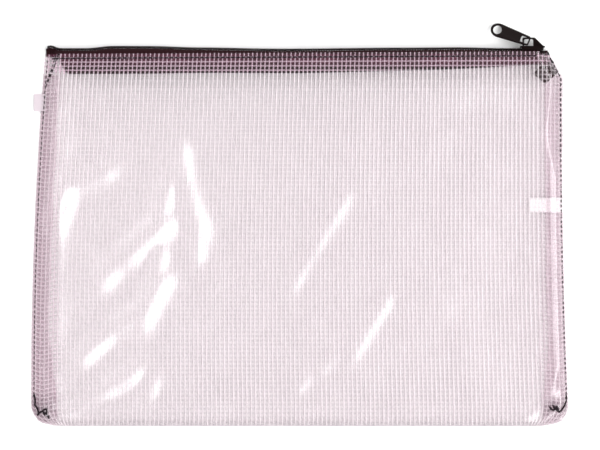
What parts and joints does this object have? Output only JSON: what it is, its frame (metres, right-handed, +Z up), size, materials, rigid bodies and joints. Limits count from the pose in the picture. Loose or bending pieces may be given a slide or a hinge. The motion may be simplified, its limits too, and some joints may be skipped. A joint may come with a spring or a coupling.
{
  "type": "document wallet",
  "caption": "Clear scrim-reinforced film wallet for paper documents, closed along its top edge by a black coil zip with a metal slider and pull tab.",
  "frame": {"origin": "middle of the pouch's outline, on the back face that the wallet lies on", "axes": "+X along the zip towards its closed end, +Y from the bottom fold towards the zip, +Z up out of the front panel"},
  "size_m": [0.341, 0.2553, 0.0123],
  "materials": {
    "film": "clear soft film with a white woven scrim inside",
    "scrim": "white multifilament yarn, open weave",
    "zip_tape": "black herringbone woven tape",
    "coil": "black monofilament coil",
    "slider": "black enamel on cast zinc",
    "thread": "black spun sewing thread",
    "ribbon": "off-white satin ribbon"
  },
  "bodies": {
    "back": {"back_panel": "film", "bottom_fold": "film", "back_zip_tape": "zip_tape", "back_tape_edge": "zip_tape", "back_coil": "coil", "back_zip_stitching": "thread", "left_seam_turning": "film", "right_seam_turning": "film", "side_tab": "ribbon", "inside_label": "ribbon"},
    "front": {"front_panel": "film", "front_zip_tape": "zip_tape", "front_tape_edge": "zip_tape", "front_coil": "coil", "front_zip_stitching": "thread", "left_seam_stitching": "thread", "right_seam_stitching": "thread", "left_corner_tack": "thread", "right_corner_tack": "thread"},
    "slider": {"slider_body": "slider"},
    "pull": {"pull_tab": "slider"}
  },
  "joints": [
    {"name": "slider_travel", "type": "slide", "parent": "back", "child": "slider", "axis": [1, 0, 0], "range_m": [-0.29, 0], "deforming": ["back_coil", "front_coil"]},
    {"name": "mouth_open", "type": "hinge", "parent": "back", "child": "front", "pos_m": [0, -0.1148, 0.0032], "axis": [1, 0, 0], "range_deg": [0, 8]},
    {"name": "pull_swing", "type": "hinge", "parent": "slider", "child": "pull", "pos_m": [0.1447, 0.12525, 0.006], "axis": [0.3265, 0.7416, -0.586], "range_deg": [0, 110]}
  ],
  "couplings": [
    {"joint": "mouth_open", "follows": "slider_travel", "rad_per_m": -0.481}
  ]
}
